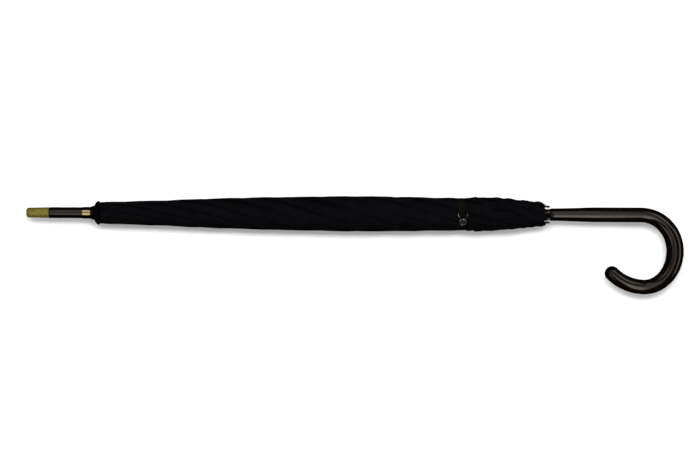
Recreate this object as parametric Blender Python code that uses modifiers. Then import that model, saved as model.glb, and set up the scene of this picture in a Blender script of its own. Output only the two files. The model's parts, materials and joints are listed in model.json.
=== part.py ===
"""A long stick umbrella with a crook handle, closed, rolled and strapped.

The stick lies along X: the ferrule's flat end is at the origin, the crook is at the far end and curls
towards -Y, and +Z is up. Lengths are in metres. The eight ribs hinge on a wire in the top notch, a
stretcher hinges on each rib, and the runner slides on the shaft. Each moving piece hangs from an empty
that stands on its joint's axis.
"""

from math import asin, cos, pi, radians, sin

import bmesh
import bpy
from mathutils import Matrix, Vector

# The stick
SHAFT_RADIUS = 0.0076
SPIGOT_RADIUS = 0.0040
HANDLE_SPIGOT_RADIUS = 0.0055
FERRULE_END = 0.0312
SHAFT_SHOULDER = 0.0315
COLLAR_START = 0.0775
HANDLE_START = 0.7265
HANDLE_SOCKET_END = 0.7650
FIT_GAP = 0.0003
BORE_RADIUS = SHAFT_RADIUS + FIT_GAP

# The crook: two quarters of ellipses, then a slacker arm up to the nose
BEND_START = 0.8530
BEND_DEPTH = 0.0500
BEND_REACH = 0.0474
LOWER_REACH = 0.0424
ARM_CURVE = 0.0635
ARM_TURN = radians(45.0)
WOOD_RADIUS = 0.0102
BEND_SWELL = 0.0017
NOSE_RADIUS = 0.0103

# The ribs and the linkage
RIB_COUNT = 8
FIRST_RIB_ANGLE = radians(118.8)
RIB_STEP = 2.0 * pi / RIB_COUNT
NOTCH_X = 0.1080
PIVOT_RADIUS = 0.0112
RIB_LENGTH = 0.6060
RIB_CHORD = 0.6230
RIB_BOW = 0.0076
RIB_HALF_HEIGHT = 0.0010
RIB_THICKNESS = 0.0012
ARM = 0.2650
RIVET_RADIUS = 0.0132
STRETCHER_WIDTH = 0.0028
OPEN_TURN = radians(70.0)
REST_ANGLE = asin((RIVET_RADIUS - PIVOT_RADIUS) / ARM)
RUNNER_X = NOTCH_X + 2.0 * ARM * cos(REST_ANGLE)
OPEN_RUNNER_X = NOTCH_X + 2.0 * ARM * cos(REST_ANGLE + OPEN_TURN)
CROWN_HALF = 0.0050
SLEEVE_LENGTH = 0.0450
STOP_PIN_X = OPEN_RUNNER_X - CROWN_HALF - 0.0016

# The spring catches lie between two ribs, in pockets along the shaft
CATCH_ANGLE = FIRST_RIB_ANGLE - RIB_STEP / 2.0
CATCH_WIDTH = 0.0018
POCKET_WIDTH = 0.0024
KEYWAY_WIDTH = 0.0030
KEYWAY_RADIUS = 0.0093
CATCH_PIVOT_RADIUS = 0.0041
HAND_CATCH_X = 0.6580
TOP_CATCH_X = 0.3150

# The rolled canopy: how far its outside stands from the axis along the stick
CANOPY_OUTLINE = [
    (0.1035, 0.0140),
    (0.1400, 0.0156),
    (0.1750, 0.0168),
    (0.2420, 0.0194),
    (0.3170, 0.0219),
    (0.3810, 0.0232),
    (0.4580, 0.0242),
    (0.5330, 0.0233),
    (0.5890, 0.0222),
    (0.6330, 0.0222),
    (0.6580, 0.0213),
    (0.6790, 0.0193),
    (0.6980, 0.0172),
    (0.7150, 0.0149),
]
CANOPY_WALL = 0.0009
GORE_GAP = radians(1.5)

# The tie strap, its ring and its button
STRAP_X = 0.6040
STRAP_WIDTH = 0.0110
STRAP_RADIUS = 0.02245
STRAP_THICKNESS = 0.0006
STRAP_OPENING = radians(42.0)
RING_RADIUS = 0.0044
RING_WIRE = 0.0009

COLOURS = {
    "dark_wood": ((0.030, 0.022, 0.018), 0.28, 0.0),
    "aged_brass": ((0.420, 0.330, 0.110), 0.45, 1.0),
    "bright_brass": ((0.800, 0.620, 0.280), 0.15, 1.0),
    "black_fabric": ((0.012, 0.012, 0.014), 0.85, 0.0),
    "strap_fabric": ((0.018, 0.018, 0.015), 0.80, 0.0),
    "black_steel": ((0.020, 0.020, 0.022), 0.40, 0.8),
    "bright_steel": ((0.650, 0.650, 0.640), 0.25, 1.0),
}
AXIS_ALONG_X = Matrix.Rotation(pi / 2.0, 4, "Y")


def clear_scene():
    for obj in list(bpy.data.objects):
        bpy.data.objects.remove(obj, do_unlink=True)


def make_collection(name):
    collection = bpy.data.collections.new(name)
    bpy.context.scene.collection.children.link(collection)
    return collection


def make_material(name):
    colour, roughness, metallic = COLOURS[name]
    material = bpy.data.materials.new(name)
    material.use_nodes = True
    shader = material.node_tree.nodes["Principled BSDF"]
    shader.inputs["Base Color"].default_value = (*colour, 1.0)
    shader.inputs["Roughness"].default_value = roughness
    shader.inputs["Metallic"].default_value = metallic
    return material


clear_scene()
PARTS = make_collection("stick_umbrella")
CUTTERS = make_collection("cutters")
MATERIALS = {name: make_material(name) for name in COLOURS}


def add_object(name, data, material=None, matrix=None):
    obj = bpy.data.objects.new(name, data)
    PARTS.objects.link(obj)
    if material:
        data.materials.append(MATERIALS[material])
    if matrix:
        obj.matrix_world = matrix
    return obj


def attach(obj, pivot, pivot_matrix):
    """Parent a piece to its joint's empty without moving it."""
    obj.parent = pivot
    obj.matrix_parent_inverse = pivot_matrix.inverted()


def make_pivot(name, matrix, parent=None):
    """An empty on a joint's axis; a parent is given as (empty, its matrix)."""
    pivot = add_object(name, None, matrix=matrix)
    pivot.empty_display_size = 0.01
    if parent:
        attach(pivot, *parent)
    return pivot, matrix


def lathe(name, outline, material, segments=24, closed=False, sweep=2.0 * pi, matrix=AXIS_ALONG_X):
    """Turn an outline of (x, radius) points, which runs from high x to low x on its outer side."""
    mesh = bmesh.new()
    points = [mesh.verts.new((radius, 0.0, x)) for x, radius in outline]
    ends = points[1:] + points[:1] if closed else points[1:]
    for start, end in zip(points, ends):
        mesh.edges.new((start, end))
    data = bpy.data.meshes.new(name)
    mesh.to_mesh(data)
    mesh.free()
    obj = add_object(name, data, material, matrix)
    screw = obj.modifiers.new("turn", "SCREW")
    screw.angle = sweep
    screw.steps = segments
    screw.render_steps = segments
    screw.use_merge_vertices = sweep > 6.0
    screw.merge_threshold = 0.00001
    screw.use_smooth_shade = False
    return obj


def curve_to_mesh(curve_object, material):
    """Replace a curve object by its mesh, with the caps welded on."""
    bpy.context.view_layer.update()
    evaluated = curve_object.evaluated_get(bpy.context.evaluated_depsgraph_get())
    data = bpy.data.meshes.new_from_object(evaluated)
    mesh = bmesh.new()
    mesh.from_mesh(data)
    bmesh.ops.remove_doubles(mesh, verts=mesh.verts, dist=0.00001)
    mesh.to_mesh(data)
    mesh.free()
    name = curve_object.name
    matrix = curve_object.matrix_world.copy()
    bpy.data.objects.remove(curve_object, do_unlink=True)
    data.materials.clear()
    return add_object(name, data, material, matrix)


def plate(name, outlines, thickness, material, matrix):
    """A flat piece from closed outlines in its local XY plane; the outlines after the first are holes."""
    curve = bpy.data.curves.new(name, "CURVE")
    curve.dimensions = "2D"
    curve.fill_mode = "BOTH"
    curve.extrude = thickness / 2.0
    for outline in outlines:
        spline = curve.splines.new("POLY")
        spline.points.add(len(outline) - 1)
        for point, (x, y) in zip(spline.points, outline):
            point.co = (x, y, 0.0, 1.0)
        spline.use_cyclic_u = True
    return curve_to_mesh(add_object(name, curve, matrix=matrix), material)


def arc(centre, radius, start, end, steps):
    """Points on a round stretch of an outline, from one angle to another."""
    turn = (end - start) / steps
    angles = [start + turn * step for step in range(steps + 1)]
    return [(centre[0] + radius * cos(a), centre[1] + radius * sin(a)) for a in angles]


def circle(centre, radius, steps=10):
    return arc(centre, radius, 0.0, 2.0 * pi * (steps - 1) / steps, steps - 1)


def cut_with(obj, cutter):
    boolean = obj.modifiers.new(cutter.name, "BOOLEAN")
    boolean.operation = "DIFFERENCE"
    boolean.solver = "EXACT"
    boolean.object = cutter


def as_cutter(obj):
    obj.hide_render = True
    obj.display_type = "WIRE"
    for collection in list(obj.users_collection):
        collection.objects.unlink(obj)
    CUTTERS.objects.link(obj)
    return obj


def box_cutter(name, low, high, roll=0.0):
    """A box between two corners, turned about the stick's axis."""
    mesh = bmesh.new()
    bmesh.ops.create_cube(mesh, size=1.0)
    size = Vector(high) - Vector(low)
    centre = (Vector(high) + Vector(low)) / 2.0
    for vertex in mesh.verts:
        vertex.co = Vector([vertex.co[i] * size[i] + centre[i] for i in range(3)])
    data = bpy.data.meshes.new(name)
    mesh.to_mesh(data)
    mesh.free()
    return as_cutter(add_object(name, data, matrix=Matrix.Rotation(roll, 4, "X")))


def rod(name, start, end, radius, material, segments=10, heads=None):
    """A pin between two points; heads is (radius, thickness) of a head outside each end."""
    span = Vector(end) - Vector(start)
    length = span.length
    outline = [(length, 0.0), (length, radius), (0.0, radius), (0.0, 0.0)]
    if heads:
        head_radius, head_thickness = heads
        top = length + head_thickness
        outline = [
            (top, 0.0),
            (top, head_radius),
            (length, head_radius),
            (length, radius),
            (0.0, radius),
            (0.0, head_radius),
            (-head_thickness, head_radius),
            (-head_thickness, 0.0),
        ]
    turn = Vector((0.0, 0.0, 1.0)).rotation_difference(span).to_matrix().to_4x4()
    return lathe(name, outline, material, segments, matrix=Matrix.Translation(start) @ turn)


def ring(name, x, ring_radius, wire_radius, material, segments=36, sides=6):
    """A wire ring round the stick's axis."""
    turns = [2.0 * pi * side / sides for side in range(sides)]
    section = [(x + wire_radius * sin(turn), ring_radius + wire_radius * cos(turn)) for turn in turns]
    return lathe(name, section[::-1], material, segments, closed=True)


def around(angle):
    """The frame of the rib plane at this angle: local X along the stick, local Y away from it."""
    return Matrix.Rotation(angle, 4, "X")


# The stick: shaft, ferrule, collar and cup -----------------------------------------------------------


def make_shaft():
    outline = [
        (HANDLE_SOCKET_END - 0.0005, 0.0),
        (HANDLE_SOCKET_END - 0.0005, HANDLE_SPIGOT_RADIUS),
        (HANDLE_START - FIT_GAP, HANDLE_SPIGOT_RADIUS),
        (HANDLE_START - FIT_GAP, SHAFT_RADIUS),
        (SHAFT_SHOULDER, SHAFT_RADIUS),
        (SHAFT_SHOULDER, SPIGOT_RADIUS),
        (0.0090, SPIGOT_RADIUS),
        (0.0090, 0.0),
    ]
    shaft = lathe("shaft", outline, "dark_wood", segments=28)
    for name, catch_x in (("hand_pocket", HAND_CATCH_X), ("top_pocket", TOP_CATCH_X)):
        low = (catch_x - 0.0024, 0.0010, -POCKET_WIDTH / 2.0)
        high = (catch_x + 0.0230, 0.0120, POCKET_WIDTH / 2.0)
        cut_with(shaft, box_cutter(name, low, high, CATCH_ANGLE))
    for name, pin_x in (("hand_pin_hole", HAND_CATCH_X), ("top_pin_hole", TOP_CATCH_X)):
        cut_with(shaft, cross_hole(name, pin_x, CATCH_PIVOT_RADIUS, 0.0009, CATCH_ANGLE))
    cut_with(shaft, cross_hole("stop_hole", STOP_PIN_X, 0.0, 0.0013, CATCH_ANGLE))


def cross_hole(name, x, radius, hole_radius, angle):
    """A cutter across the shaft, at a distance from its axis towards the given angle."""
    start = around(angle) @ Vector((x, radius, -0.0110))
    end = around(angle) @ Vector((x, radius, 0.0110))
    return as_cutter(rod(name, start, end, hole_radius, None, 12))


def cross_pin(name, x, radius, pin_radius, half_length, material):
    start = around(CATCH_ANGLE) @ Vector((x, radius, -half_length))
    end = around(CATCH_ANGLE) @ Vector((x, radius, half_length))
    return rod(name, start, end, pin_radius, material)


def make_ferrule():
    """The brass end cap, a cup that is pressed over the shaft's spigot."""
    outline = [
        (0.0085, 0.0),
        (0.0085, SPIGOT_RADIUS + FIT_GAP),
        (FERRULE_END, SPIGOT_RADIUS + FIT_GAP),
        (FERRULE_END, 0.0074),
        (0.0030, 0.0070),
        (0.0008, 0.0061),
        (0.0, 0.0050),
        (0.0, 0.0),
    ]
    lathe("ferrule_tip", outline, "aged_brass", segments=24)


def make_collar():
    outline = [
        (0.0935, 0.0081),
        (0.0935, 0.0092),
        (0.0920, 0.0093),
        (0.0895, 0.0087),
        (0.0865, 0.0083),
        (COLLAR_START + 0.0010, 0.0083),
        (COLLAR_START, 0.0081),
        (COLLAR_START, BORE_RADIUS),
        (0.0935, BORE_RADIUS),
    ]
    lathe("ferrule_collar", outline, "bright_brass", segments=28, closed=True)


def make_cup():
    """The round cap that covers the gathered top of the canopy; its hollow side faces the canopy."""
    outline = [
        (0.1028, 0.0128),
        (0.1028, 0.0143),
        (0.1014, 0.0158),
        (0.0994, 0.0164),
        (0.0974, 0.0156),
        (0.0952, 0.0128),
        (0.0938, 0.0097),
        (0.0938, BORE_RADIUS),
        (0.0958, BORE_RADIUS),
        (0.0962, 0.0110),
        (0.0985, 0.0128),
    ]
    lathe("tip_cup", outline, "black_fabric", segments=28, closed=True)
    washer = [(0.1043, BORE_RADIUS), (0.1043, 0.0122), (0.1031, 0.0122), (0.1031, BORE_RADIUS)]
    lathe("canopy_rosette", washer, "black_fabric", closed=True)


def slot_cutters(prefix, low_x, high_x, floor_radius, width):
    """One radial slot for each rib."""
    for index in range(RIB_COUNT):
        angle = FIRST_RIB_ANGLE + index * RIB_STEP
        low = (low_x, floor_radius, -width / 2.0)
        high = (high_x, 0.0160, width / 2.0)
        yield box_cutter(f"{prefix}_{index + 1}", low, high, angle)


def grooved_ring_outline(low_x, high_x, outer, groove_x, groove_half, groove_floor):
    """A ring on the shaft with a groove for a wire round its outside."""
    return [
        (high_x, BORE_RADIUS),
        (high_x, outer),
        (groove_x + groove_half, outer),
        (groove_x + groove_half, groove_floor),
        (groove_x - groove_half, groove_floor),
        (groove_x - groove_half, outer),
        (low_x, outer),
        (low_x, BORE_RADIUS),
    ]


def make_notch():
    outline = grooved_ring_outline(0.1046, 0.1114, 0.0126, NOTCH_X, 0.0008, 0.0103)
    notch = lathe("top_notch", outline, "black_steel", segments=32, closed=True)
    for cutter in slot_cutters("notch_slot", 0.1030, 0.1130, 0.0093, RIB_THICKNESS + 2.0 * FIT_GAP):
        cut_with(notch, cutter)
    ring("notch_wire", NOTCH_X, PIVOT_RADIUS, 0.0005, "bright_steel")


# The runner ------------------------------------------------------------------------------------------


def make_runner():
    pivot = make_pivot("runner_axis", Matrix.Translation((RUNNER_X, 0.0, 0.0)))
    low = RUNNER_X - CROWN_HALF
    high = RUNNER_X + CROWN_HALF
    outline = grooved_ring_outline(low, high, 0.0130, RUNNER_X, 0.0008, 0.0093)
    crown = lathe("runner_crown", outline, "black_steel", segments=32, closed=True)
    slot_width = STRETCHER_WIDTH + 2.0 * FIT_GAP
    for cutter in slot_cutters("runner_slot", low - 0.001, high + 0.001, 0.0093, slot_width):
        cut_with(crown, cutter)
    end = high + SLEEVE_LENGTH
    sleeve_outline = [
        (end, BORE_RADIUS),
        (end, 0.0096),
        (end - 0.0020, 0.0098),
        (end - 0.0040, 0.0091),
        (high + FIT_GAP, 0.0091),
        (high + FIT_GAP, BORE_RADIUS),
    ]
    sleeve = lathe("runner_sleeve", sleeve_outline, "black_steel", segments=24, closed=True)
    half = KEYWAY_WIDTH / 2.0
    keyways = (
        (crown, "crown_keyway", low, high, KEYWAY_RADIUS),
        (sleeve, "sleeve_keyway", high, end, 0.0120),
    )
    for piece, key_name, start, stop, top in keyways:
        cutter = box_cutter(key_name, (start - 0.001, 0.0, -half), (stop + 0.001, top, half), CATCH_ANGLE)
        cut_with(piece, cutter)
    wire = ring("runner_wire", RUNNER_X, 0.00978, 0.00035, "bright_steel")
    for piece in (crown, sleeve, wire):
        attach(piece, *pivot)


def make_catch(name, pivot_x):
    """A sprung leaf in the shaft's pocket: it turns on its pin, and its tooth stands proud of the wood."""
    outline = [
        (-0.0016, -0.0015),
        (0.0220, 0.0003),
        (0.0220, 0.0049),
        (0.0200, 0.0049),
        (0.0130, 0.0025),
        (-0.0016, 0.0015),
    ]
    matrix = around(CATCH_ANGLE) @ Matrix.Translation((pivot_x, CATCH_PIVOT_RADIUS, 0.0))
    pivot = make_pivot(f"{name}_axis", matrix)
    leaf = plate(name, [outline, circle((0.0, 0.0), 0.0009)], CATCH_WIDTH, "bright_steel", matrix)
    attach(leaf, *pivot)


def make_catches():
    make_catch("hand_spring", HAND_CATCH_X)
    make_catch("top_spring", TOP_CATCH_X)
    cross_pin("hand_spring_pin", HAND_CATCH_X, CATCH_PIVOT_RADIUS, 0.0006, 0.0055, "bright_steel")
    cross_pin("top_spring_pin", TOP_CATCH_X, CATCH_PIVOT_RADIUS, 0.0006, 0.0055, "bright_steel")
    cross_pin("stop_pin", STOP_PIN_X, 0.0, 0.0010, 0.0090, "bright_steel")


# Ribs, stretchers and their small parts --------------------------------------------------------------


def rib_height(distance):
    """How far the rib's centre line stands from the stick, at a distance along it from the notch."""
    part = distance / RIB_CHORD
    return PIVOT_RADIUS + 0.0004 * part + RIB_BOW * sin(pi * part**1.4)


def rib_outlines():
    """The rib's side outline about its notch pivot, with the eye, the rivet's lug and two holes."""
    stations = [0.0020, 0.0500, 0.1100, 0.1700, 0.2300]
    far = [0.3000, 0.3600, 0.4200, 0.4700, 0.5200, 0.5700, RIB_LENGTH]
    lug = Vector((ARM * cos(REST_ANGLE), RIVET_RADIUS - PIVOT_RADIUS))

    def edge(points, side):
        return [(s, rib_height(s) - PIVOT_RADIUS + side * RIB_HALF_HEIGHT) for s in points]

    top = edge(stations + [lug.x] + far, 1.0)
    under_far = edge([lug.x + 0.0016] + far, -1.0)[::-1]
    under_near = edge(stations + [lug.x - 0.0016], -1.0)[::-1]
    lug_end = arc(lug, 0.0016, 0.0, -pi, 6)
    eye = arc((0.0, 0.0), 0.0015, radians(-40.0), radians(-320.0), 10)
    outer = top + under_far + lug_end + under_near[:-1] + eye
    return [outer, circle((0.0, 0.0), 0.0008), circle(lug, 0.0010)]


def stretcher_outlines():
    """The stretcher's side outline about its rivet: a straight bar with round ends."""
    direction = -REST_ANGLE
    end = Vector((ARM * cos(direction), ARM * sin(direction)))
    near_end = arc((0.0, 0.0), 0.0016, radians(40.0) + direction, radians(320.0) + direction, 8)
    far_end = arc(end, 0.0010, direction - pi / 2.0, direction + pi / 2.0, 6)
    return [near_end + far_end, circle((0.0, 0.0), 0.0010)]


def fork_cutter(name, matrix):
    """The slot in a stretcher's end that straddles the rib's lug."""
    half = RIB_THICKNESS / 2.0 + FIT_GAP
    cutter = box_cutter(name, (-0.0040, -0.0040, -half), (0.0045, 0.0040, half))
    cutter.matrix_world = matrix
    return cutter


def make_rib_tip(name, matrix):
    """The bare metal end that holds the canopy's corner."""
    start = Vector((RIB_LENGTH + FIT_GAP, rib_height(RIB_LENGTH) - PIVOT_RADIUS, 0.0))
    slope = (rib_height(RIB_LENGTH) - rib_height(RIB_LENGTH - 0.001)) / 0.001
    outline = [
        (0.0116, 0.0),
        (0.0116, 0.0007),
        (0.0110, 0.0011),
        (0.0098, 0.0011),
        (0.0092, 0.0007),
        (0.0040, 0.0008),
        (0.0, 0.0010),
        (0.0, 0.0),
    ]
    turn = Matrix.Rotation(slope, 4, "Z") @ AXIS_ALONG_X
    return lathe(name, outline, "bright_steel", 8, matrix=matrix @ Matrix.Translation(start) @ turn)


def fan_pivot_matrix(angle):
    """Where a gore's fan axis stands at rest: open, it passes through the top of the tent of ribs."""
    open_angle = REST_ANGLE + OPEN_TURN
    here = around(angle) @ Vector((cos(open_angle), sin(open_angle), 0.0))
    following = around(angle + RIB_STEP) @ Vector((cos(open_angle), sin(open_angle), 0.0))
    hinge_axis = around(angle) @ Vector((0.0, 0.0, 1.0))
    normal = Matrix.Rotation(-OPEN_TURN, 3, hinge_axis) @ here.cross(following).normalized()
    along = Vector((cos(REST_ANGLE), sin(REST_ANGLE), 0.0))
    origin = around(angle) @ (Vector((NOTCH_X, PIVOT_RADIUS, 0.0)) - along * PIVOT_RADIUS / sin(open_angle))
    turn = Vector((0.0, 0.0, 1.0)).rotation_difference(normal).to_matrix().to_4x4()
    return Matrix.Translation(origin) @ turn


def make_gore(name, angle):
    """One of the eight cloth segments, rolled up: a strip of shell along its rib."""
    sweep = RIB_STEP - GORE_GAP
    matrix = around(angle + pi / 2.0 - sweep / 2.0) @ AXIS_ALONG_X
    gore = lathe(name, CANOPY_OUTLINE[::-1], "black_fabric", 5, sweep=sweep, matrix=matrix)
    wall = gore.modifiers.new("cloth", "SOLIDIFY")
    wall.thickness = CANOPY_WALL
    wall.offset = -1.0
    return gore


def make_rib_set(number, angle):
    matrix = around(angle) @ Matrix.Translation((NOTCH_X, PIVOT_RADIUS, 0.0))
    pivot = make_pivot(f"rib_{number}_axis", matrix)
    rib = plate(f"rib_{number}", rib_outlines(), RIB_THICKNESS, "black_steel", matrix)
    tip = make_rib_tip(f"rib_tip_{number}", matrix)
    lug = Vector((ARM * cos(REST_ANGLE), RIVET_RADIUS - PIVOT_RADIUS, 0.0))
    lug_matrix = matrix @ Matrix.Translation(lug)
    reach = Vector((0.0, 0.0, STRETCHER_WIDTH / 2.0 + FIT_GAP))
    rivet_ends = (lug_matrix @ -reach, lug_matrix @ reach)
    rivet = rod(f"rib_rivet_{number}", *rivet_ends, 0.0007, "bright_steel", 8, heads=(0.0013, 0.0004))
    stretcher_pivot = make_pivot(f"stretcher_{number}_axis", lug_matrix, pivot)
    outlines = stretcher_outlines()
    stretcher = plate(f"stretcher_{number}", outlines, STRETCHER_WIDTH, "black_steel", lug_matrix)
    cut_with(stretcher, fork_cutter(f"fork_slot_{number}", lug_matrix))
    fan = make_pivot(f"canopy_gore_{number}_axis", fan_pivot_matrix(angle), pivot)
    attach(make_gore(f"canopy_gore_{number}", angle), *fan)
    attach(stretcher, *stretcher_pivot)
    for piece in (rib, tip, rivet):
        attach(piece, *pivot)
    return pivot


# The strap -------------------------------------------------------------------------------------------


def make_strap(rib_pivot):
    """The band round the rolled canopy, open where its ring hooks over the button."""
    middle = FIRST_RIB_ANGLE
    start = middle + STRAP_OPENING / 2.0
    end = middle + 2.0 * pi - STRAP_OPENING / 2.0
    outer = arc((0.0, 0.0), STRAP_RADIUS + STRAP_THICKNESS, start, end, 48)
    inner = arc((0.0, 0.0), STRAP_RADIUS, end, start, 48)
    quarter_turns = Matrix.Rotation(pi / 2.0, 4, "Z") @ Matrix.Rotation(pi / 2.0, 4, "X")
    upright = Matrix.Translation((STRAP_X, 0.0, 0.0)) @ quarter_turns
    strap = plate("tie_strap", [outer + inner], STRAP_WIDTH, "strap_fabric", upright)
    attach(strap, *rib_pivot)
    outward = around(middle) @ Matrix.Translation((STRAP_X, 0.0, 0.0)) @ Matrix.Rotation(-pi / 2.0, 4, "X")
    button_outline = [
        (0.0262, 0.0),
        (0.0262, 0.0012),
        (0.0256, 0.0024),
        (0.0249, 0.0026),
        (0.0246, 0.0014),
        (0.0226, 0.0014),
        (0.0226, 0.0),
    ]
    button = lathe("strap_button", button_outline, "black_steel", 16, matrix=outward)
    attach(button, *rib_pivot)
    make_ring(outward)


def make_ring(outward):
    """The metal ring lies flat over the button and swings up on the strap's loop."""
    height = 0.0235
    hinge = outward @ Matrix.Translation((0.0, RING_RADIUS + RING_WIRE, height))
    pivot = make_pivot("strap_ring_axis", hinge)
    section = [
        (height + RING_WIRE * sin(pi * side / 4.0), RING_RADIUS + RING_WIRE * cos(pi * side / 4.0))
        for side in range(8)
    ]
    attach(lathe("strap_ring", section[::-1], "bright_steel", 24, closed=True, matrix=outward), *pivot)


# The crook handle ------------------------------------------------------------------------------------


def handle_route():
    """Centre line points with the wood's radius at each: straight, round the bend and up to the nose."""
    straight = [
        (HANDLE_START, 0.0087),
        (0.7500, 0.0091),
        (0.7750, 0.0097),
        (0.8000, WOOD_RADIUS),
        (0.8350, WOOD_RADIUS),
    ]
    route = [((x, 0.0), radius) for x, radius in straight]
    steps = 11
    lower_centre_x = BEND_START + BEND_REACH - LOWER_REACH
    for step in range(2 * steps + 1):
        turn = pi / 2.0 * step / steps
        upper = step < steps
        centre_x, reach = (BEND_START, BEND_REACH) if upper else (lower_centre_x, LOWER_REACH)
        place = (centre_x + reach * sin(turn), -BEND_DEPTH + BEND_DEPTH * cos(turn))
        route.append((place, WOOD_RADIUS + BEND_SWELL * sin(turn) ** 2))
    arm_centre = Vector((lower_centre_x, ARM_CURVE - 2.0 * BEND_DEPTH))
    arm_steps = 6
    for step in range(1, arm_steps + 1):
        turn = ARM_TURN * step / arm_steps
        place = arm_centre + ARM_CURVE * Vector((-sin(turn), -cos(turn)))
        route.append((tuple(place), WOOD_RADIUS))
    heading = Vector((-cos(ARM_TURN), sin(ARM_TURN)))
    for step in range(1, 5):
        angle = radians(20.0 * step)
        ahead = place + heading * NOSE_RADIUS * sin(angle)
        route.append((tuple(ahead), NOSE_RADIUS * cos(angle)))
    return route


def make_handle():
    route = handle_route()
    curve = bpy.data.curves.new("crook_handle", "CURVE")
    curve.dimensions = "3D"
    curve.bevel_depth = 1.0
    curve.bevel_resolution = 4
    curve.use_fill_caps = True
    spline = curve.splines.new("POLY")
    spline.points.add(len(route) - 1)
    for point, ((x, y), radius) in zip(spline.points, route):
        point.co = (x, y, 0.0, 1.0)
        point.radius = radius
    handle = curve_to_mesh(add_object("crook_handle", curve), "dark_wood")
    socket_ends = ((HANDLE_START - 0.002, 0.0, 0.0), (HANDLE_SOCKET_END, 0.0, 0.0))
    socket = rod("handle_socket", *socket_ends, HANDLE_SPIGOT_RADIUS + FIT_GAP, None, 20)
    cut_with(handle, as_cutter(socket))


def main():
    make_shaft()
    make_ferrule()
    make_collar()
    make_cup()
    make_notch()
    make_runner()
    make_catches()
    pivots = [make_rib_set(i + 1, FIRST_RIB_ANGLE + i * RIB_STEP) for i in range(RIB_COUNT)]
    make_strap(pivots[0])
    make_handle()


main()
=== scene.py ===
# %% [markdown]
# # A stick umbrella, rolled and strapped
# The frame holds the working parts: ribs, stretchers, runner, notch and catches. This lesson gives
# them their finishes and makes what the eye meets: the rolled cloth, the wooden stick and crook,
# the brass ferrule, the cap, the strap and its ring. All lengths are in metres.

# %% Load the frame
import json
from math import acos, asin, atan2, cos, degrees, exp, pi, radians, sin, tau

import bpy
import bmesh
import numpy as np
from mathutils import Matrix, Vector, noise


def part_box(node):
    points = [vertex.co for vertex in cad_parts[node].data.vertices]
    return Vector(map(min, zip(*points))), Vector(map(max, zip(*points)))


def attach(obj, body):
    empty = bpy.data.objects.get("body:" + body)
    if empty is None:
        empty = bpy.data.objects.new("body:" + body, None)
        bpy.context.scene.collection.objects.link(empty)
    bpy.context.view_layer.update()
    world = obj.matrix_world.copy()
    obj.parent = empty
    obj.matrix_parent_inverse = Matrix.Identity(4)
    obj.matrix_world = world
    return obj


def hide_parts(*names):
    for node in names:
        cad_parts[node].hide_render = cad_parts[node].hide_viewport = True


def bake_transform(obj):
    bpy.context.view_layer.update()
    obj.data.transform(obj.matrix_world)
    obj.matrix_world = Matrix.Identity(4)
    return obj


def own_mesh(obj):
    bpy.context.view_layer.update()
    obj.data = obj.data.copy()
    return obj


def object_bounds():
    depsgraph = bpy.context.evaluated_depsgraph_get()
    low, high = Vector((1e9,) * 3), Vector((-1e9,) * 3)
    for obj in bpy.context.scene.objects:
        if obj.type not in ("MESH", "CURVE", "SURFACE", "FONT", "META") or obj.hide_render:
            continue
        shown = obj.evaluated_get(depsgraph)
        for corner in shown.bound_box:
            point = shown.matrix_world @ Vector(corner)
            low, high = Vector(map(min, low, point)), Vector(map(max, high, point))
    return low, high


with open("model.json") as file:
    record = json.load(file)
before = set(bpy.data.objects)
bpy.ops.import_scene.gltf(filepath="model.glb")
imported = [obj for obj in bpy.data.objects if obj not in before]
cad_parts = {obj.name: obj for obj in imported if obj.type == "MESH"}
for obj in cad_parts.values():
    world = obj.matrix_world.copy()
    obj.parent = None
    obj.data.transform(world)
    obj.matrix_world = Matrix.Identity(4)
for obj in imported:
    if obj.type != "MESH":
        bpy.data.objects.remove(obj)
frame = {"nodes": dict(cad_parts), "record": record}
cad_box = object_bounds()
nodes = frame["nodes"]

# %% [markdown]
# ## Camera, floor and light
# The umbrella lies on a white table and is seen from straight above. Polished wood shows its lights
# as clear bands, so the soft boxes are placed by those bands: bright boxes in front of the handle,
# weaker ones behind and above it, and a dimmer set of three over the ferrule. A last light shows in
# no reflection; it throws the narrow soft shadow. Table and sky are left out of reflections too.

# %% Camera and floor
TABLE_Z = cad_box[0][2] - 0.0004
VIEW_CENTRE = Vector((0.4489, -0.0246, 0.0))
CAMERA_HEIGHT = 2.295
CAMERA_ROLL = radians(0.23)

camera_data = bpy.data.cameras.new("overhead_camera")
camera_data.lens = 85.0
camera_data.sensor_width = 36.0
camera = bpy.data.objects.new("overhead_camera", camera_data)
bpy.context.scene.collection.objects.link(camera)
camera.location = VIEW_CENTRE + Vector((0.0, 0.0, CAMERA_HEIGHT))
camera.rotation_euler = (0.0, 0.0, CAMERA_ROLL)
bpy.context.scene.camera = camera
bpy.context.scene.view_settings.view_transform = "Standard"

bpy.ops.object.select_all(action="DESELECT")
bpy.ops.mesh.primitive_plane_add(size=30.0, location=(VIEW_CENTRE.x, 0.0, TABLE_Z))
table = bpy.context.object
table.name = "white_table"
table.visible_glossy = False


# %% Lights
def soft_box(name, place, target, size, radiance):
    """An area light whose brightness is given as seen in a reflection."""
    data = bpy.data.lights.new(name, "AREA")
    data.shape = "RECTANGLE"
    data.size, data.size_y = size
    data.energy = radiance * pi * size[0] * size[1]
    light = bpy.data.objects.new(name, data)
    bpy.context.scene.collection.objects.link(light)
    light.location = place
    light.rotation_euler = (Vector(target) - Vector(place)).to_track_quat("-Z", "Y").to_euler()
    light.visible_camera = False
    return light


CEILING = 2.0


def ceiling_panel(name, x_span, y_span, radiance):
    """A soft box facing down from the ceiling, between two places in X and two in Y."""
    middle = ((x_span[0] + x_span[1]) / 2.0, (y_span[0] + y_span[1]) / 2.0)
    size = (x_span[1] - x_span[0], y_span[1] - y_span[0])
    return soft_box(name, (*middle, CEILING), (*middle, 0.0), size, radiance)


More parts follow.
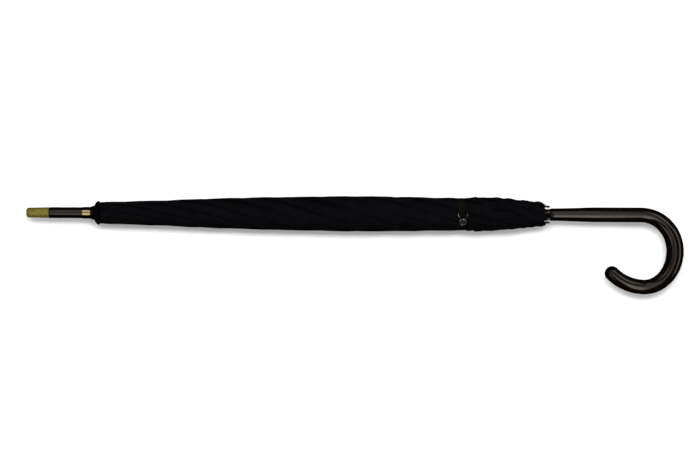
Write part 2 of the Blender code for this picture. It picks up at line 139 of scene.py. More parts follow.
ceiling_panel("front_box", (0.72, 1.28), (-2.30, -0.42), 2.4)
ceiling_panel("middle_box", (0.72, 1.28), (-0.40, 0.50), 0.80)
ceiling_panel("back_box", (0.55, 1.28), (0.52, 3.40), 0.75)
ceiling_panel("corner_box", (1.60, 3.40), (0.80, 2.70), 1.3)
ceiling_panel("small_box", (0.30, 0.50), (-0.55, 0.45), 0.80)
ceiling_panel("front_box_tip", (-1.30, -0.07), (-2.10, -0.42), 1.15)
ceiling_panel("middle_box_tip", (-1.30, 0.00), (-0.40, 0.50), 0.36)
ceiling_panel("back_box_tip", (-1.30, -0.07), (0.70, 2.40), 0.95)
soft_box("side_box", (3.15, -0.05, 1.30), (0.90, -0.05, 0.0), (2.6, 0.85), 1.5)
shadow_light = soft_box("shadow_light", (0.45, 0.62, 2.10), (0.45, 0.0, 0.0), (1.60, 0.66), 16.0)
shadow_light.visible_glossy = False

world = bpy.data.worlds.new("pale_sky")
bpy.context.scene.world = world
world.use_nodes = True
sky = world.node_tree.nodes["Background"]
sky.inputs["Color"].default_value = (1.0, 1.0, 1.0, 1.0)
sky.inputs["Strength"].default_value = 0.36
world.cycles_visibility.glossy = False
print("lights", len(bpy.data.lights))


# %% [markdown]
# ## Shader sums written as Python
# A finish is easier to read as a formula than as a web of nodes. `Field` wraps one socket, and its
# operators add the Math nodes; `node` makes any other node.

# %% The Field class
# A Mix node's colour sockets share names with its others, so they are found by number.
MIX_FACTOR, MIX_DARK, MIX_LIGHT, MIX_COLOUR = 0, 6, 7, 2


class Field:
    """One output socket that can be added, multiplied and fed on like a number."""

    def __init__(self, tree, socket):
        self.tree = tree
        self.socket = socket

    def node(self, kind, settings=None, inputs=None, output=0):
        made = self.tree.nodes.new(kind)
        for name, value in (settings or {}).items():
            setattr(made, name, value)
        for name, value in (inputs or {}).items():
            feed(self.tree, made.inputs[name], value)
        return Field(self.tree, made.outputs[output])

    def math(self, operation, first, second=0.0):
        return self.node("ShaderNodeMath", {"operation": operation}, {0: first, 1: second})

    def __add__(self, other):
        return self.math("ADD", self, other)

    def __radd__(self, other):
        return self.math("ADD", other, self)

    def __sub__(self, other):
        return self.math("SUBTRACT", self, other)

    def __rsub__(self, other):
        return self.math("SUBTRACT", other, self)

    def __mul__(self, other):
        return self.math("MULTIPLY", self, other)

    def __rmul__(self, other):
        return self.math("MULTIPLY", other, self)

    def sine(self):
        return self.math("SINE", self)

    def step(self, low, high):
        """0 below low, 1 above high, smooth between."""
        settings = {"interpolation_type": "SMOOTHSTEP"}
        inputs = {"Value": self, "From Min": low, "From Max": high}
        return self.node("ShaderNodeMapRange", settings, inputs)

    def tint(self, dark, light):
        """A colour between two, by this value."""
        inputs = {MIX_FACTOR: self, MIX_DARK: (*dark, 1.0), MIX_LIGHT: (*light, 1.0)}
        return self.node("ShaderNodeMix", {"data_type": "RGBA"}, inputs, output=MIX_COLOUR)

    def stretched(self, scale):
        return self.node("ShaderNodeMapping", None, {"Vector": self, "Scale": scale})

    def noise(self, scale, detail=3.0, roughness=0.5):
        inputs = {"Vector": self, "Scale": scale, "Detail": detail, "Roughness": roughness}
        return self.node("ShaderNodeTexNoise", None, inputs)

    def part(self, axis):
        return self.node("ShaderNodeSeparateXYZ", None, {"Vector": self}, output=axis)


def feed(tree, socket, value):
    if isinstance(value, Field):
        tree.links.new(value.socket, socket)
    else:
        socket.default_value = value


# %% A finish and its coordinates
def finish_named(name, **constants):
    """A Principled material with its constant values set; returns it, its object and UV fields."""
    material = bpy.data.materials.new(name)
    material.use_nodes = True
    tree = material.node_tree
    shader = tree.nodes["Principled BSDF"]
    for socket, value in constants.items():
        shader.inputs[socket.replace("_", " ")].default_value = value
    outputs = tree.nodes.new("ShaderNodeTexCoord").outputs
    return material, shader, Field(tree, outputs["Object"]), Field(tree, outputs["UV"])


def drive(shader, start, colour=None, roughness=None, height=None, distance=0.0002, strength=1.0):
    """Feed the values that change over a surface into its shader."""
    if colour:
        feed(start.tree, shader.inputs["Base Color"], colour)
    if roughness:
        feed(start.tree, shader.inputs["Roughness"], roughness)
    if height:
        settings = {"Strength": strength, "Distance": distance, "Height": height}
        bump = start.node("ShaderNodeBump", None, settings)
        feed(start.tree, shader.inputs["Normal"], bump)


# %% [markdown]
# ## The finishes
# The wood is stained almost black and french-polished, so the grain only shows as long, faint
# streaks under a clear coat. The ferrule is cast brass dulled by the pavement; the collar is the
# same metal, but polished. The cloth is a fine black weave that hardly shines.

# %% Wood
def make_wood():
    material, shader, place, surface = finish_named(
        "polished_dark_wood",
        Coat_Weight=0.25,
        Coat_Roughness=0.05,
        Specular_Tint=(1.0, 0.86, 0.75, 1.0),
    )
    streaks = surface.stretched((9.0, 420.0, 1.0)).noise(1.0, 5.0, 0.6)
    pores = surface.stretched((60.0, 2600.0, 1.0)).noise(1.0, 2.0)
    clouds = place.noise(14.0, 2.0)
    depth = streaks * 0.75 + clouds * 0.25
    colour = depth.step(0.30, 0.75).tint((0.0004, 0.0003, 0.0002), (0.0046, 0.0026, 0.0016))
    rough = 0.07 + streaks * 0.08 + clouds * 0.04
    drive(shader, place, colour, rough, pores * 0.6 + streaks * 0.4, 0.00008, 0.35)
    return material


wood = make_wood()
print(wood.name)


# %% Metals
def make_aged_brass():
    material, shader, place, _ = finish_named("aged_brass", Metallic=0.75, Specular_IOR_Level=0.5)
    blotches = place.noise(260.0, 4.0, 0.65)
    scratches = place.stretched((300.0, 2600.0, 2600.0)).noise(1.0, 2.0)
    grime = place.noise(900.0, 2.0)
    wear = place.part(0).step(0.0, 0.006)
    tone = (blotches * 0.7 + grime * 0.3).step(0.32, 0.70)
    colour = (tone * (0.65 + wear * 0.35)).tint((0.190, 0.145, 0.022), (0.430, 0.350, 0.064))
    rough = 0.40 + blotches * 0.22
    drive(shader, place, colour, rough, blotches * 0.5 + scratches * 0.5, 0.00012, 0.5)
    return material


def make_bright_brass():
    material, shader, place, _ = finish_named("bright_brass", Metallic=1.0)
    film = place.noise(400.0, 3.0)
    brushed = place.stretched((4000.0, 60.0, 60.0)).noise(1.0, 2.0)
    colour = film.step(0.25, 0.8).tint((0.42, 0.33, 0.14), (0.70, 0.60, 0.33))
    drive(shader, place, colour, 0.10 + film * 0.14, brushed, 0.00004, 0.25)
    return material


def make_nickel():
    material, shader, place, _ = finish_named("nickel_plate", Metallic=1.0)
    film = place.noise(700.0, 3.0)
    colour = film.step(0.2, 0.8).tint((0.11, 0.11, 0.11), (0.26, 0.26, 0.255))
    drive(shader, place, colour, 0.16 + film * 0.2, film, 0.00005, 0.3)
    return material


def make_black_steel():
    material, shader, place, _ = finish_named("black_steel", Metallic=0.1, Specular_IOR_Level=0.14)
    speckle = place.noise(1200.0, 3.0)
    edge = place.noise(90.0, 2.0)
    tone = speckle * 0.5 + edge * 0.5
    colour = tone.step(0.35, 0.75).tint((0.006, 0.006, 0.007), (0.024, 0.024, 0.026))
    drive(shader, place, colour, 0.30 + speckle * 0.25, speckle, 0.00005, 0.4)
    return material


aged_brass = make_aged_brass()
bright_brass = make_bright_brass()
nickel = make_nickel()
black_steel = make_black_steel()
print(aged_brass.name, bright_brass.name, nickel.name, black_steel.name)


# %% Cloth
def make_cloth(name, dark, light, thread):
    """A plain weave on the piece's own UV map, in metres, with threads this far apart."""
    material, shader, place, surface = finish_named(name, Specular_IOR_Level=0.03)
    waves = tau / thread
    warp = (surface.part(0) * waves).sine()
    weft = (surface.part(1) * waves).sine()
    weave = warp * weft * 0.5 + 0.5
    slub = surface.stretched((40.0, 700.0, 1.0)).noise(1.0, 2.0)
    crumple = place.noise(75.0, 4.0, 0.6)
    tone = weave * 0.25 + slub * 0.35 + crumple * 0.4
    colour = tone.step(0.25, 0.80).tint(dark, light)
    drive(shader, place, colour, 0.62 + slub * 0.2, weave * 0.35 + crumple * 1.6, 0.00035, 0.6)
    return material


canopy_cloth = make_cloth("canopy_cloth", (0.0007, 0.0008, 0.0010), (0.0032, 0.0034, 0.0041), 0.0007)
cap_cloth = make_cloth("cap_cloth", (0.0002, 0.0003, 0.0004), (0.0016, 0.0018, 0.0022), 0.0009)
strap_cloth = make_cloth("strap_webbing", (0.0013, 0.0014, 0.0009), (0.0046, 0.0048, 0.0031), 0.0011)

# %% The table's finish
white, shader, place, _ = finish_named("white_table_top", Roughness=0.9, Specular_IOR_Level=0.0)
drive(shader, place, place.noise(3.0, 2.0).tint((0.86, 0.86, 0.86), (0.88, 0.88, 0.88)))
table.data.materials.append(white)
print("finishes", len(bpy.data.materials))


# %% [markdown]
# ## Turned and bent pieces
# The ferrule, collar, cap, button and stick are turned, and the crook is a round rod bent by steam.
# All start as one disc. It is extruded ring by ring, and each new ring is set at its place,
# direction and radius, as a turner works along a blank.

# %% Hand a piece over to the frame
def finished(piece, material, slot_name, body, *replaced):
    """Give a piece its finish and its body, and hide the frame nodes that it stands for."""
    piece.data.materials.clear()
    piece.data.materials.append(material)
    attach(piece, body)
    if replaced:
        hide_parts(*replaced)
    return piece


# %% Extrude a disc along a path of rings
def grow(name, rings, segments=64):
    """A round solid through rings of (centre, direction, radius), with a UV map in metres."""
    bpy.ops.object.select_all(action="DESELECT")
    bpy.ops.mesh.primitive_circle_add(vertices=segments, radius=1.0, fill_type="NGON")
    piece = bpy.context.object
    piece.name = name
    bpy.ops.object.mode_set(mode="EDIT")
    bpy.ops.mesh.select_all(action="SELECT")
    edit = bmesh.from_edit_mesh(piece.data)
    unit = [v.co.copy() for v in edit.verts]
    for number, (centre, direction, radius) in enumerate(rings):
        if number:
            bpy.ops.mesh.extrude_region_move()
        edit = bmesh.from_edit_mesh(piece.data)
        turn = Vector((0.0, 0.0, 1.0)).rotation_difference(Vector(direction)).to_matrix()
        edit.verts.ensure_lookup_table()
        chosen = sorted((v for v in edit.verts if v.select), key=lambda v: v.index)
        for vertex, place in zip(chosen, unit):
            vertex.co = Vector(centre) + turn @ (place * radius)
        bmesh.update_edit_mesh(piece.data)
    bpy.ops.mesh.select_all(action="SELECT")
    bpy.ops.mesh.normals_make_consistent(inside=False)
    bpy.ops.object.mode_set(mode="OBJECT")
    bpy.ops.object.shade_smooth_by_angle(angle=radians(38.0))
    lay_round_uv(piece, rings, segments)
    return piece


def lay_round_uv(piece, rings, segments):
    """U runs along the rings and V round them, both in metres."""
    lengths = [0.0]
    for before, after in zip(rings, rings[1:]):
        step = (Vector(after[0]) - Vector(before[0])).length + abs(after[2] - before[2])
        lengths.append(lengths[-1] + step)
    girth = tau * max(ring[2] for ring in rings)
    layer = piece.data.uv_layers.new(name="UVMap")
    for polygon in piece.data.polygons:
        columns = [piece.data.loops[i].vertex_index % segments for i in polygon.loop_indices]
        wraps = max(columns) - min(columns) > segments / 2
        for loop, column in zip(polygon.loop_indices, columns):
            row = piece.data.loops[loop].vertex_index // segments
            around = column + (segments if wraps and column < segments / 2 else 0)
            layer.data[loop].uv = (lengths[row], girth * around / segments)


def turned(name, outline, segments=64):
    """A piece turned about the stick's axis, from points of (x, radius)."""
    return grow(name, [((x, 0.0, 0.0), (1.0, 0.0, 0.0), radius) for x, radius in outline], segments)


# %% Soft corners and modifiers
def rounded(points, soften=0.0006):
    """An outline with each corner replaced by three points, so it catches the light."""
    out = [points[0]]
    for before, corner, after in zip(points, points[1:], points[2:]):
        here = Vector(corner)
        back = Vector(before) - here
        ahead = Vector(after) - here
        reach_back = min(soften, back.length * 0.45)
        reach_ahead = min(soften, ahead.length * 0.45)
        start = here + back.normalized() * reach_back
        end = here + ahead.normalized() * reach_ahead
        out += [tuple(start), tuple((start + end) / 4.0 + here / 2.0), tuple(end)]
    return out + [points[-1]]


def modify(piece, kind, **settings):
    """Add a modifier with its settings and apply it."""
    bpy.ops.object.select_all(action="DESELECT")
    piece.select_set(True)
    bpy.context.view_layer.objects.active = piece
    modifier = piece.modifiers.new(kind.lower(), kind)
    for name, value in settings.items():
        setattr(modifier, name, value)
    bpy.ops.object.modifier_apply(modifier=modifier.name)


# %% The brass ferrule
POLE = 0.0002  # the radius at which a turned piece is closed on its axis
WORN_LENGTH = 0.004  # the end that is knocked most
ferrule_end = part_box("ferrule_tip")[1][0]
ferrule_outline = rounded(
    [
        (0.0, 0.0),
        (0.0, 0.0054),
        (0.0010, 0.0063),
        (0.0030, 0.0069),
        (ferrule_end, 0.0074),
        (ferrule_end, 0.0),
    ],
    0.0005,
)
ferrule_outline[0] = (0.0, POLE)
ferrule_outline[-1] = (ferrule_end, POLE)
ferrule = turned("brass_ferrule", ferrule_outline, 96)
for vertex in ferrule.data.vertices:
    dent = noise.noise(vertex.co * 420.0) * 0.00010 + noise.noise(vertex.co * 1300.0) * 0.00003
    wear = max(0.0, 1.0 - vertex.co.x / WORN_LENGTH)
    away = Vector((0.0, vertex.co.y, vertex.co.z))
    vertex.co += away.normalized() * dent * (1.0 + wear)
finished(ferrule, aged_brass, "aged_brass", "stick", "ferrule_tip")
print("ferrule length", round(ferrule_end, 4))

# %% [markdown]
# ## The stick
# The stick shows between the ferrule and the cap, and again inside the open umbrella. Two slots hold
# the spring catches, so they are cut with boxes at the frame's own places.

# %% The stick with its slots
SHAFT_RADIUS = 0.0076
TENON_RADIUS = 0.0055  # the stick's end that is glued into the handle
CATCH_ANGLE = radians(118.8 - 22.5)
CATCH_RADIUS = 0.0065
SLOT_CLEARANCE, SLOT_DEPTH, SLOT_WIDTH = 0.0016, 0.0110, 0.0024
stick_start = ferrule_end + 0.0003
handle_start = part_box("crook_handle")[0][0]
shaft_end = handle_start + 0.02
stick_outline = rounded(
    [
        (stick_start, 0.0),
        (stick_start, SHAFT_RADIUS),
        (0.0772, SHAFT_RADIUS),
        (0.35, SHAFT_RADIUS),
        (handle_start - 0.0005, SHAFT_RADIUS),
        (handle_start - 0.0003, TENON_RADIUS + 0.0001),
        (shaft_end, TENON_RADIUS),
        (shaft_end, 0.0),
    ],
    0.0004,
)
stick_outline[0] = (stick_start, POLE)
stick_outline[-1] = (shaft_end, POLE)
stick = turned("wooden_stick", stick_outline, 64)
for catch in ("hand_spring", "top_spring"):
    low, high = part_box(catch)
    bpy.ops.object.select_all(action="DESELECT")
    side = (CATCH_RADIUS * cos(CATCH_ANGLE), CATCH_RADIUS * sin(CATCH_ANGLE))
    middle = ((low[0] + high[0]) / 2.0, *side)
    bpy.ops.mesh.primitive_cube_add(size=1.0, location=middle, rotation=(CATCH_ANGLE, 0.0, 0.0))
    cutter = bpy.context.object
    slot_size = (high[0] - low[0] + SLOT_CLEARANCE, SLOT_DEPTH, SLOT_WIDTH)
    bpy.ops.transform.resize(value=slot_size, orient_type="LOCAL")
    modify(stick, "BOOLEAN", object=cutter, operation="DIFFERENCE", solver="EXACT")
    bpy.data.objects.remove(cutter, do_unlink=True)
finished(stick, wood, "wood", "stick", "shaft")
print("stick", len(stick.data.polygons), "faces")

# %% [markdown]
# ## The collar and the cap
# A polished brass collar fits over the stick and flares out to a thin lip. Behind the lip sits the
# cap, a stuffed ring of black cloth gathered in fine pleats round its rim, which hides the canopy's
# cut edges. Both are turned, and the pleats are then pressed into the cap's rim.

# %% The polished collar
collar_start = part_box("ferrule_collar")[0][0]
collar_outline = [
    (collar_start, 0.0077),
    (collar_start + 0.0001, 0.0079),
    (collar_start + 0.0008, 0.0081),
    (0.0862, 0.0081),
    (0.0880, 0.0082),
    (0.0898, 0.0086),
    (0.0912, 0.0091),
    (0.0922, 0.0096),
    (0.0930, 0.0098),
    (0.0935, 0.0095),
    (0.0936, 0.0078),
]
collar = turned("polished_collar", collar_outline, 96)
finished(collar, bright_brass, "bright_brass", "stick", "ferrule_collar")
print("collar length", round(collar_outline[-1][0] - collar_start, 4))

# %% The gathered cap
PLEATS = 34
PLEAT_START = 0.0105  # the radius where the gathers begin
PLEAT_REACH = 0.0058  # from there to the rim
cap_outline = [
    (0.0937, 0.0079),
    (0.0937, 0.0094),
    (0.0941, 0.0104),
    (0.0950, 0.0121),
    (0.0960, 0.0136),
    (0.0971, 0.0150),
    (0.0982, 0.0159),
    (0.0992, 0.0163),
    (0.1003, 0.0162),
    (0.1013, 0.0156),
    (0.1021, 0.0148),
    (0.1027, 0.0140),
    (0.1030, 0.0132),
    (0.1024, 0.0124),
    (0.1005, 0.0118),
    (0.0990, 0.0100),
    (0.0985, 0.0080),
]
cap = turned("gathered_cap", cap_outline, PLEATS * 8)
for vertex in cap.data.vertices:
    spread = (vertex.co.y**2 + vertex.co.z**2) ** 0.5
    around = atan2(vertex.co.z, vertex.co.y)
    rim = max(0.0, (spread - PLEAT_START) / PLEAT_REACH)
    wander = noise.noise(Vector((cos(around) * 4.0, sin(around) * 4.0, vertex.co.x * 300.0)))
    pleat = abs(sin(around * PLEATS / 2.0 + wander * 0.9)) - 0.6
    grow_by = 1.0 + rim * (0.030 * pleat + 0.020 * wander)
    vertex.co.y *= grow_by
    vertex.co.z *= grow_by
finished(cap, cap_cloth, "cap_fabric", "stick", "tip_cup")

washer_outline = [(0.1031, 0.0079), (0.1031, 0.0122), (0.1043, 0.0122), (0.1043, 0.0079)]
washer = turned("cloth_washer", rounded(washer_outline, 0.0003), 96)
finished(washer, cap_cloth, "cap_fabric", "stick", "canopy_rosette")
print("cap", PLEATS, "pleats")


# %% [markdown]
# ## The crook
# The handle is one rod: straight, swelling a little towards the bend, round the bend, and back up to
# a blunt nose. Its centre line is two quarters of ellipses and a slacker arc, as in the frame.

# %% The crook's centre line
BEND_START, BEND_DEPTH, BEND_REACH, LOWER_REACH = 0.8530, 0.0500, 0.0474, 0.0424
ARM_CURVE, ARM_TURN = 0.0635, radians(45.0)
WOOD_RADIUS, BEND_SWELL, NOSE_RADIUS = 0.0102, 0.0017, 0.0103
SHOULDER_RADIUS, GRIP_RADIUS, GRIP_SWELL, GRIP_LENGTH = 0.0078, 0.0086, 0.0016, 0.070


def crook_centres():
    """Places along the handle, with the wood's radius at each."""
    for x in (handle_start, handle_start + 0.0002, handle_start + 0.0010):
        yield (x, 0.0), SHOULDER_RADIUS + (x - handle_start) * 0.6
    for step in range(24):
        x = handle_start + 0.002 + (BEND_START - 0.006 - handle_start) * step / 23.0
        part = min(1.0, (x - handle_start) / GRIP_LENGTH)
        yield (x, 0.0), GRIP_RADIUS + GRIP_SWELL * part * part * (3.0 - 2.0 * part)
    lower_x = BEND_START + BEND_REACH - LOWER_REACH
    for step in range(57):
        turn = pi * step / 56.0
        middle, reach = (BEND_START, BEND_REACH) if turn < pi / 2.0 else (lower_x, LOWER_REACH)
        place = (middle + reach * sin(turn), BEND_DEPTH * (cos(turn) - 1.0))
        yield place, WOOD_RADIUS + BEND_SWELL * sin(turn) ** 2
    for step in range(1, 15):
        turn = ARM_TURN * step / 14.0
        place = (lower_x - ARM_CURVE * sin(turn), ARM_CURVE * (1.0 - cos(turn)) - 2.0 * BEND_DEPTH)
        yield place, WOOD_RADIUS
    tip = Vector(place)
    heading = Vector((-cos(ARM_TURN), sin(ARM_TURN)))
    for step in range(1, 13):
        angle = radians(7.4 * step)
        yield tuple(tip + heading * NOSE_RADIUS * sin(angle)), NOSE_RADIUS * cos(angle)


print("crook centres", len(list(crook_centres())))


# %% The crook's rings
def crook_rings():
    """Each centre with the direction of the path there, from its two neighbours."""
    places = list(crook_centres())
    rings = []
    for index, ((x, y), radius) in enumerate(places):
        before = Vector(places[max(index - 1, 0)][0])
        after = Vector(places[min(index + 1, len(places) - 1)][0])
        heading = (after - before).normalized()
        rings.append(((x, y, 0.0), (heading.x, heading.y, 0.0), radius))
    return rings


def steady_rings(name, rings, segments):
    """Like grow, for a path that turns right round: each ring stays upright in the crook's plane."""
    piece = grow(name, rings, segments)
    for row, (centre, direction, radius) in enumerate(rings):
        side = Vector((-direction[1], direction[0], 0.0))
        for column in range(segments):
            angle = tau * column / segments
            place = Vector(centre) + radius * (side * cos(angle) + Vector((0.0, 0.0, sin(angle))))
            piece.data.vertices[row * segments + column].co = place
    bpy.ops.object.mode_set(mode="EDIT")
    bpy.ops.mesh.select_all(action="SELECT")
    bpy.ops.mesh.normals_make_consistent(inside=False)
    bpy.ops.object.mode_set(mode="OBJECT")
    return piece


crook = steady_rings("crook", crook_rings(), 72)
finished(crook, wood, "wood", "stick", "crook_handle")
print("crook", len(crook.data.polygons), "faces")


# %% [markdown]
# ## How the cloth is rolled
# Each of the eight segments is folded in two along its middle and wound round the ribs. What shows
# is a lap from every segment, and each fold lies on the next lap. The folds run along the stick as
# slow spirals, because the wider the cloth, the further it is wound.

# %% The roll's outline
FIRST_RIB = radians(118.8)
RIB_STEP = tau / 8.0
NOTCH_X = 0.1080
PIVOT_RADIUS = 0.0112
RIB_LENGTH = 0.6060
RIB_CHORD = 0.6230  # the length over which the bow is drawn
RIB_RISE = 0.0004
RIB_BOW = 0.0076
OUTLINE = [
    (0.1035, 0.0144),
    (0.1163, 0.0150),
    (0.1580, 0.0163),
    (0.1996, 0.0178),
    (0.2413, 0.0197),
    (0.2830, 0.0210),
    (0.3246, 0.0222),
    (0.3663, 0.0229),
    (0.4080, 0.0236),
    (0.4496, 0.0242),
    (0.4913, 0.0239),
    (0.5329, 0.0234),
    (0.5746, 0.0227),
    (0.6162, 0.0224),
    (0.6370, 0.0225),
    (0.6579, 0.0215),
    (0.6787, 0.0194),
    (0.6995, 0.0170),
    (0.7180, 0.0142),
]
ROLL_START, ROLL_END = OUTLINE[0][0], 0.7148
STRAP_X = 0.6023


def outline_radius(x):
    """A smooth curve through the outline's points."""
    xs = np.array([p[0] for p in OUTLINE])
    rs = np.array([p[1] for p in OUTLINE])
    slopes = np.gradient(rs, xs)
    i = int(np.clip(np.searchsorted(xs, x) - 1, 0, len(xs) - 2))
    width = xs[i + 1] - xs[i]
    t = min(max((x - xs[i]) / width, 0.0), 1.0)
    start = (1 + 2 * t) * (1 - t) ** 2 * rs[i] + t * (1 - t) ** 2 * width * slopes[i]
    end = t * t * (3 - 2 * t) * rs[i + 1] + t * t * (t - 1) * width * slopes[i + 1]
    return start + end


print("widest radius", max(radius for _, radius in OUTLINE))


# %% The ribs below and the winding
def rib_height(distance):
    """The rib's centre line above the stick, as in the frame."""
    part = max(distance, 0.0) / RIB_CHORD
    return PIVOT_RADIUS + RIB_RISE * part + RIB_BOW * sin(pi * part**1.4)


def winding(x):
    """How far the fold is wound on at a place along the stick, in radians."""
    distance = x - ROLL_START
    return 0.62 + 12.4 * distance + 2.4 * max(0.0, distance - 0.06)


print("wound on at the hem", round(degrees(winding(ROLL_END))), "degrees")


# %% Wrinkles
def ring_noise(angle, x, round_scale, along_scale):
    """Noise on the roll's surface that closes up when the angle has gone right round."""
    return noise.noise(Vector((cos(angle) * round_scale, sin(angle) * round_scale, x * along_scale)))


def bell(x, middle, width, power=2):
    """1 at the middle, fading to 0 on both sides."""
    return exp(-(((x - middle) / width) ** power))


def ramp(x, start, length):
    """0 before the start, 1 past the length, straight between."""
    return min(1.0, max(0.0, (x - start) / length))


QUIET_HEIGHT = 0.00035
STRAP_PINCH = 0.0009
STRAP_FOLD, HEM_FOLD = 0.0013, 0.0026
PUCKER_HEIGHT = 0.0026
SCALLOP_HEIGHT = 0.0036


def wrinkles(x, angle):
    """Small hills and valleys: gathers by the strap and at the hem, and a quiet crumple elsewhere.

    Under the strap the cloth is pressed flat, so that the band lies over it.
    """
    quiet = QUIET_HEIGHT * ring_noise(angle, x, 2.0, 55.0)
    twisted = angle - (x - STRAP_X) * 14.0
    slant = Vector((cos(twisted) * 4.2, sin(twisted) * 4.2, x * 26.0))
    broad = 1.6 * abs(noise.noise(slant))
    narrow = 0.9 * abs(noise.noise(slant * 2.1 + Vector((5.0, 0.0, 0.0))))
    depth = STRAP_FOLD * bell(x, STRAP_X, 0.020) + HEM_FOLD * ramp(x, STRAP_X + 0.006, 0.030)
    folds = depth * (broad + narrow - 0.45)
    pucker = PUCKER_HEIGHT * bell(x, STRAP_X + 0.014, 0.016) * ring_noise(angle, x, 4.0, 150.0)
    scallops = SCALLOP_HEIGHT * ramp(x, ROLL_END - 0.012, 0.012) * ring_noise(angle, x, 7.0, 60.0)
    pressed = 1.0 - 0.93 * bell(x, STRAP_X, 0.0068, 4)
    return quiet - STRAP_PINCH * bell(x, STRAP_X, 0.008) + pressed * (folds + pucker) + scallops


# %% The depth of a lap
# Degrees back from the fold. They crowd at the fold itself and where the lap goes under the next.
FOLD_STEPS = [0, 0.4, 0.9, 1.6, 2.6, 4, 6, 9, 13, 18, 23.5, 29, 33]
FOLD_STEPS += [35.5, 37.5, 39.5, 41.5, 43.5, 46, 50, 57, 66]
INNER_COLUMNS = 32
RIB_COVER = 0.0014  # wanted between the deepest layer and the ribs' centre lines
SHALLOWEST_LAP, DEEPEST_LAP = 0.0018, 0.0046
UNDERLAP_START, UNDERLAP_END = radians(34.5), radians(43.0)


def lap_depth(x, back):
    """How far a lap has sunk below the outside, at an angle back from its own fold."""
    room = outline_radius(x) - rib_height(x - NOTCH_X) - RIB_COVER
    deepest = min(max(room, SHALLOWEST_LAP), DEEPEST_LAP)
    shoulder = 0.08 * min(back / radians(30.0), 1.0)
    drop = ramp(back, UNDERLAP_START, UNDERLAP_END - UNDERLAP_START)
    inside = 1.0 - exp(-0.45 * max(back - UNDERLAP_END, 0.0))
    return deepest * (shoulder + 0.54 * drop * drop * (3.0 - 2.0 * drop) + 0.38 * inside)


def lap_columns(x):
    """Angles back from the fold: close together where the lap shows, wide apart inside the roll."""
    near = [radians(a) for a in FOLD_STEPS]
    total = max(winding(x), near[-1])
    far = [near[-1] + (total - near[-1]) * (k + 1) / INNER_COLUMNS for k in range(INNER_COLUMNS)]
    return near + far


print("columns across a layer", len(lap_columns(ROLL_END)))


# %% A place on a lap
def rolled_point(index, x, back, inner):
    """A place on one of the two layers of a lap."""
    loose = ramp(x, STRAP_X, 0.030)
    drift = radians(9.0) * noise.noise(Vector((index * 7.3, x * 9.0, 0.5)))
    drift += radians(16.0) * loose * noise.noise(Vector((index * 5.1, x * 30.0, 7.5)))
    fold = FIRST_RIB + index * RIB_STEP + winding(x) + drift
    angle = fold - back
    degrees_back = degrees(back)
    puff = 0.00065 * sin(pi * min(degrees_back / 45.0, 1.0))
    roundness = -0.00030 * exp(-degrees_back / 1.1)
    gap = 0.00012 + 0.00045 * (1.0 - exp(-degrees_back / 2.4)) * exp(-degrees_back / 16.0)
    radius = outline_radius(x) - lap_depth(x, back) + puff + roundness + wrinkles(x, angle)
    if inner:
        radius -= gap
    return Vector((x, radius * cos(angle), radius * sin(angle)))


def roll_end(index, back):
    """The hem isn't cut square once it is wound up: each lap ends a little higher or lower."""
    ragged = 0.0110 * noise.noise(Vector((index * 3.1, back * 7.0, 2.0)))
    return ROLL_END + ragged + 0.0014 * cos(back * 2.0)


# %% A sheet from a grid of places
def cloth_grid(name, rows):
    """A sheet from rows of points, with a UV map in metres along and across."""
    mesh = bmesh.new()
    layer = mesh.loops.layers.uv.new("UVMap")
    grid = [[mesh.verts.new(point) for point in row] for row in rows]
    columns = len(rows[0])
    widest = max(rows, key=lambda row: (row[0] - row[-1]).length)
    step = sum((a - b).length for a, b in zip(widest, widest[1:])) / (columns - 1)
    lengths = [0.0]
    for before, after in zip(rows, rows[1:]):
        lengths.append(lengths[-1] + (after[columns // 2] - before[columns // 2]).length)
    for r in range(len(rows) - 1):
        for c in range(columns - 1):
            face = mesh.faces.new((grid[r][c], grid[r + 1][c], grid[r + 1][c + 1], grid[r][c + 1]))
            face.smooth = True
            corners = ((r, c), (r + 1, c), (r + 1, c + 1), (r, c + 1))
            for loop, (row, column) in zip(face.loops, corners):
                loop[layer].uv = (column * step, lengths[row])
    data = bpy.data.meshes.new(name)
    mesh.to_mesh(data)
    mesh.free()
    sheet = bpy.data.objects.new(name, data)
    bpy.context.scene.collection.objects.link(sheet)
    return sheet


# %% One rolled segment
STATIONS = 190


def rolled_segment(index):
    """Two layers joined at the fold: a row goes out along the inner one and back in along the outer."""
    rows = []
    for station in range(STATIONS + 1):
        part = station / STATIONS
        columns = lap_columns(ROLL_START + part * (ROLL_END - ROLL_START))
        row = []
        for inner in (True, False):
            for back in columns[::-1] if inner else columns:
                x = ROLL_START + part * (roll_end(index, back) - ROLL_START)
                row.append(rolled_point(index, x, back, inner))
        rows.append(row)
    return cloth_grid(f"rolled_segment_{index + 1}", rows)


# %% [markdown]
# ## The cloth when it is up
# Open, each segment spans two ribs. Its points are found backwards: a place on the open segment is
# given, and the rest position is the one that the blend from the rib to the fan body carries there.
# At rest the segment is a narrow strip beside its rib, hidden in the roll.

# %% The blend, worked backwards
OPEN_TURN = radians(70.0)
ARM = 0.2650  # from a rib's pivot to its stretcher's rivet
REST_ANGLE = asin(0.0020 / ARM)
OPEN_ANGLE = REST_ANGLE + OPEN_TURN
STRIP_WIDTH = 0.0028
joint_of = {joint["name"]: joint for joint in frame["record"]["behaviour"]["joints"]}


def unsmooth(share):
    """The value whose smooth step is this share."""
    low, high = 0.0, 1.0
    for _ in range(40):
        middle = (low + high) / 2.0
        if middle * middle * (3.0 - 2.0 * middle) < share:
            low = middle
        else:
            high = middle
    return (low + high) / 2.0


def blend_share(reach, across, span):
    """The share of the fan's turn that carries a strip point to this angle across the segment."""
    low, high = 0.0, 1.0
    for _ in range(40):
        middle = (low + high) / 2.0
        if reach * sin(across - middle * span) > STRIP_WIDTH * unsmooth(middle):
            low = middle
        else:
            high = middle
    return (low + high) / 2.0


